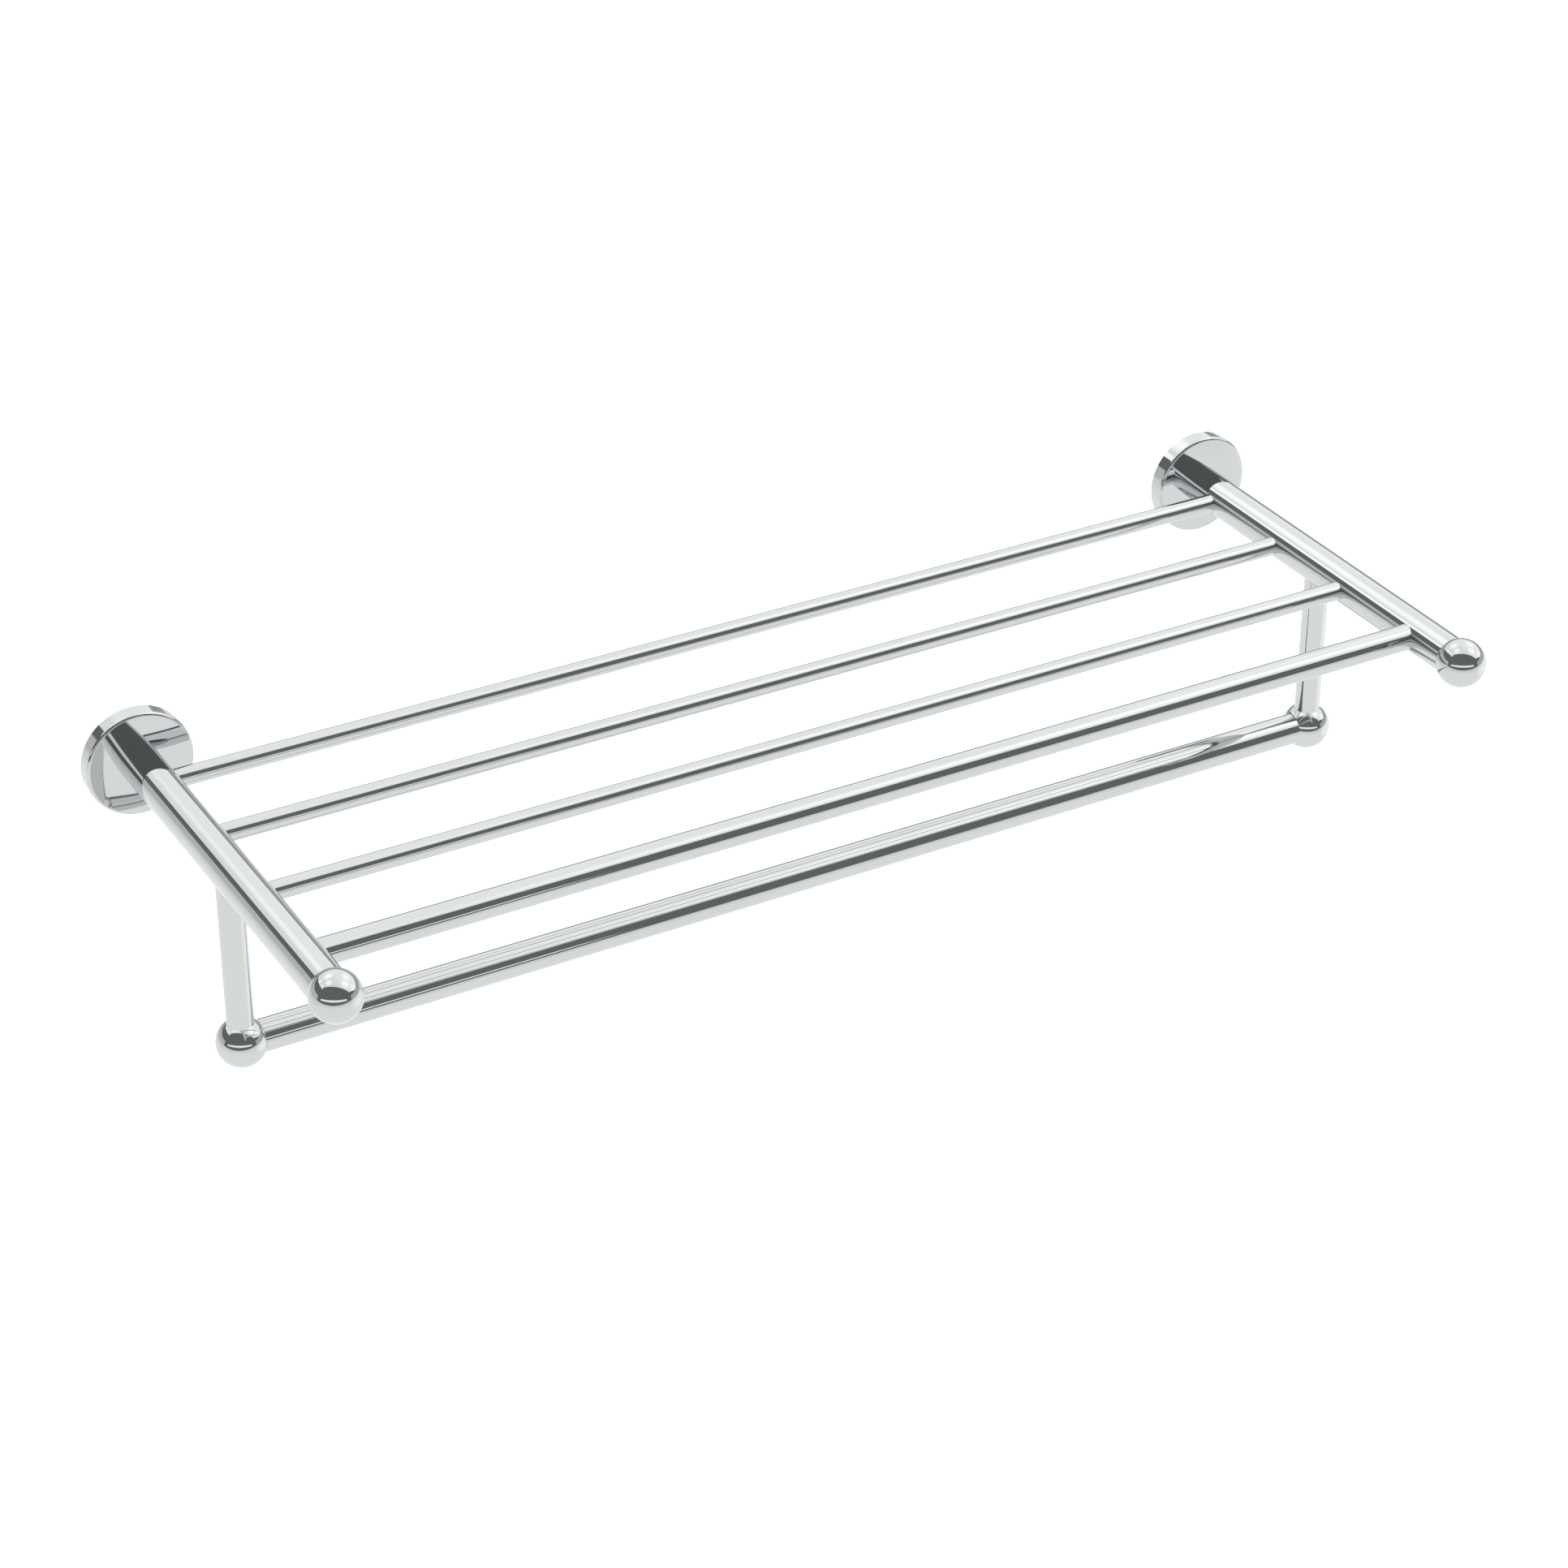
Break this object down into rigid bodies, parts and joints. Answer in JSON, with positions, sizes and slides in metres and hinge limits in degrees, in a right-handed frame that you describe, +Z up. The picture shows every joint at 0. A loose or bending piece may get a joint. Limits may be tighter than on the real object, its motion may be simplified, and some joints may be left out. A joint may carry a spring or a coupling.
{
  "type": "towel rack",
  "caption": "Wall-mounted towel rack: round flanges hold arms that carry a shelf of cross bars, with a towel bar hung below it, all in polished chrome.",
  "frame": {"origin": "on the wall, midway between the axes of the two arms", "axes": "+X runs along the wall, to the right as seen from the room; +Y points into the wall; +Z is up"},
  "size_m": [0.6536, 0.2439, 0.1335],
  "materials": {
    "polished_chrome": "mirror-polished bright chrome plating",
    "turned_brass": "turned, unplated",
    "zinc_plated_steel": "dull zinc plating"
  },
  "bodies": {
    "root": {"front_cross_bar": "polished_chrome", "left_arm_fixing_screw": "zinc_plated_steel", "left_arm_front_insert": "turned_brass", "left_arm_post_insert": "turned_brass", "left_arm_root_insert": "turned_brass", "left_arm_tube": "polished_chrome", "left_corner_ball": "polished_chrome", "left_flange": "polished_chrome", "left_flange_grub_screw": "zinc_plated_steel", "left_front_ball": "polished_chrome", "left_front_ball_stud": "zinc_plated_steel", "left_post": "polished_chrome", "left_post_lower_stud": "zinc_plated_steel", "left_post_upper_stud": "zinc_plated_steel", "left_towel_bar_plug": "turned_brass", "left_towel_bar_stud": "zinc_plated_steel", "left_wall_plate": "zinc_plated_steel", "rear_cross_bar_1": "polished_chrome", "rear_cross_bar_2": "polished_chrome", "rear_cross_bar_3": "polished_chrome", "right_arm_fixing_screw": "zinc_plated_steel", "right_arm_front_insert": "turned_brass", "right_arm_post_insert": "turned_brass", "right_arm_root_insert": "turned_brass", "right_arm_tube": "polished_chrome", "right_corner_ball": "polished_chrome", "right_flange": "polished_chrome", "right_flange_grub_screw": "zinc_plated_steel", "right_front_ball": "polished_chrome", "right_front_ball_stud": "zinc_plated_steel", "right_post": "polished_chrome", "right_post_lower_stud": "zinc_plated_steel", "right_post_upper_stud": "zinc_plated_steel", "right_towel_bar_plug": "turned_brass", "right_towel_bar_stud": "zinc_plated_steel", "right_wall_plate": "zinc_plated_steel", "towel_bar": "polished_chrome"}
  },
  "joints": []
}
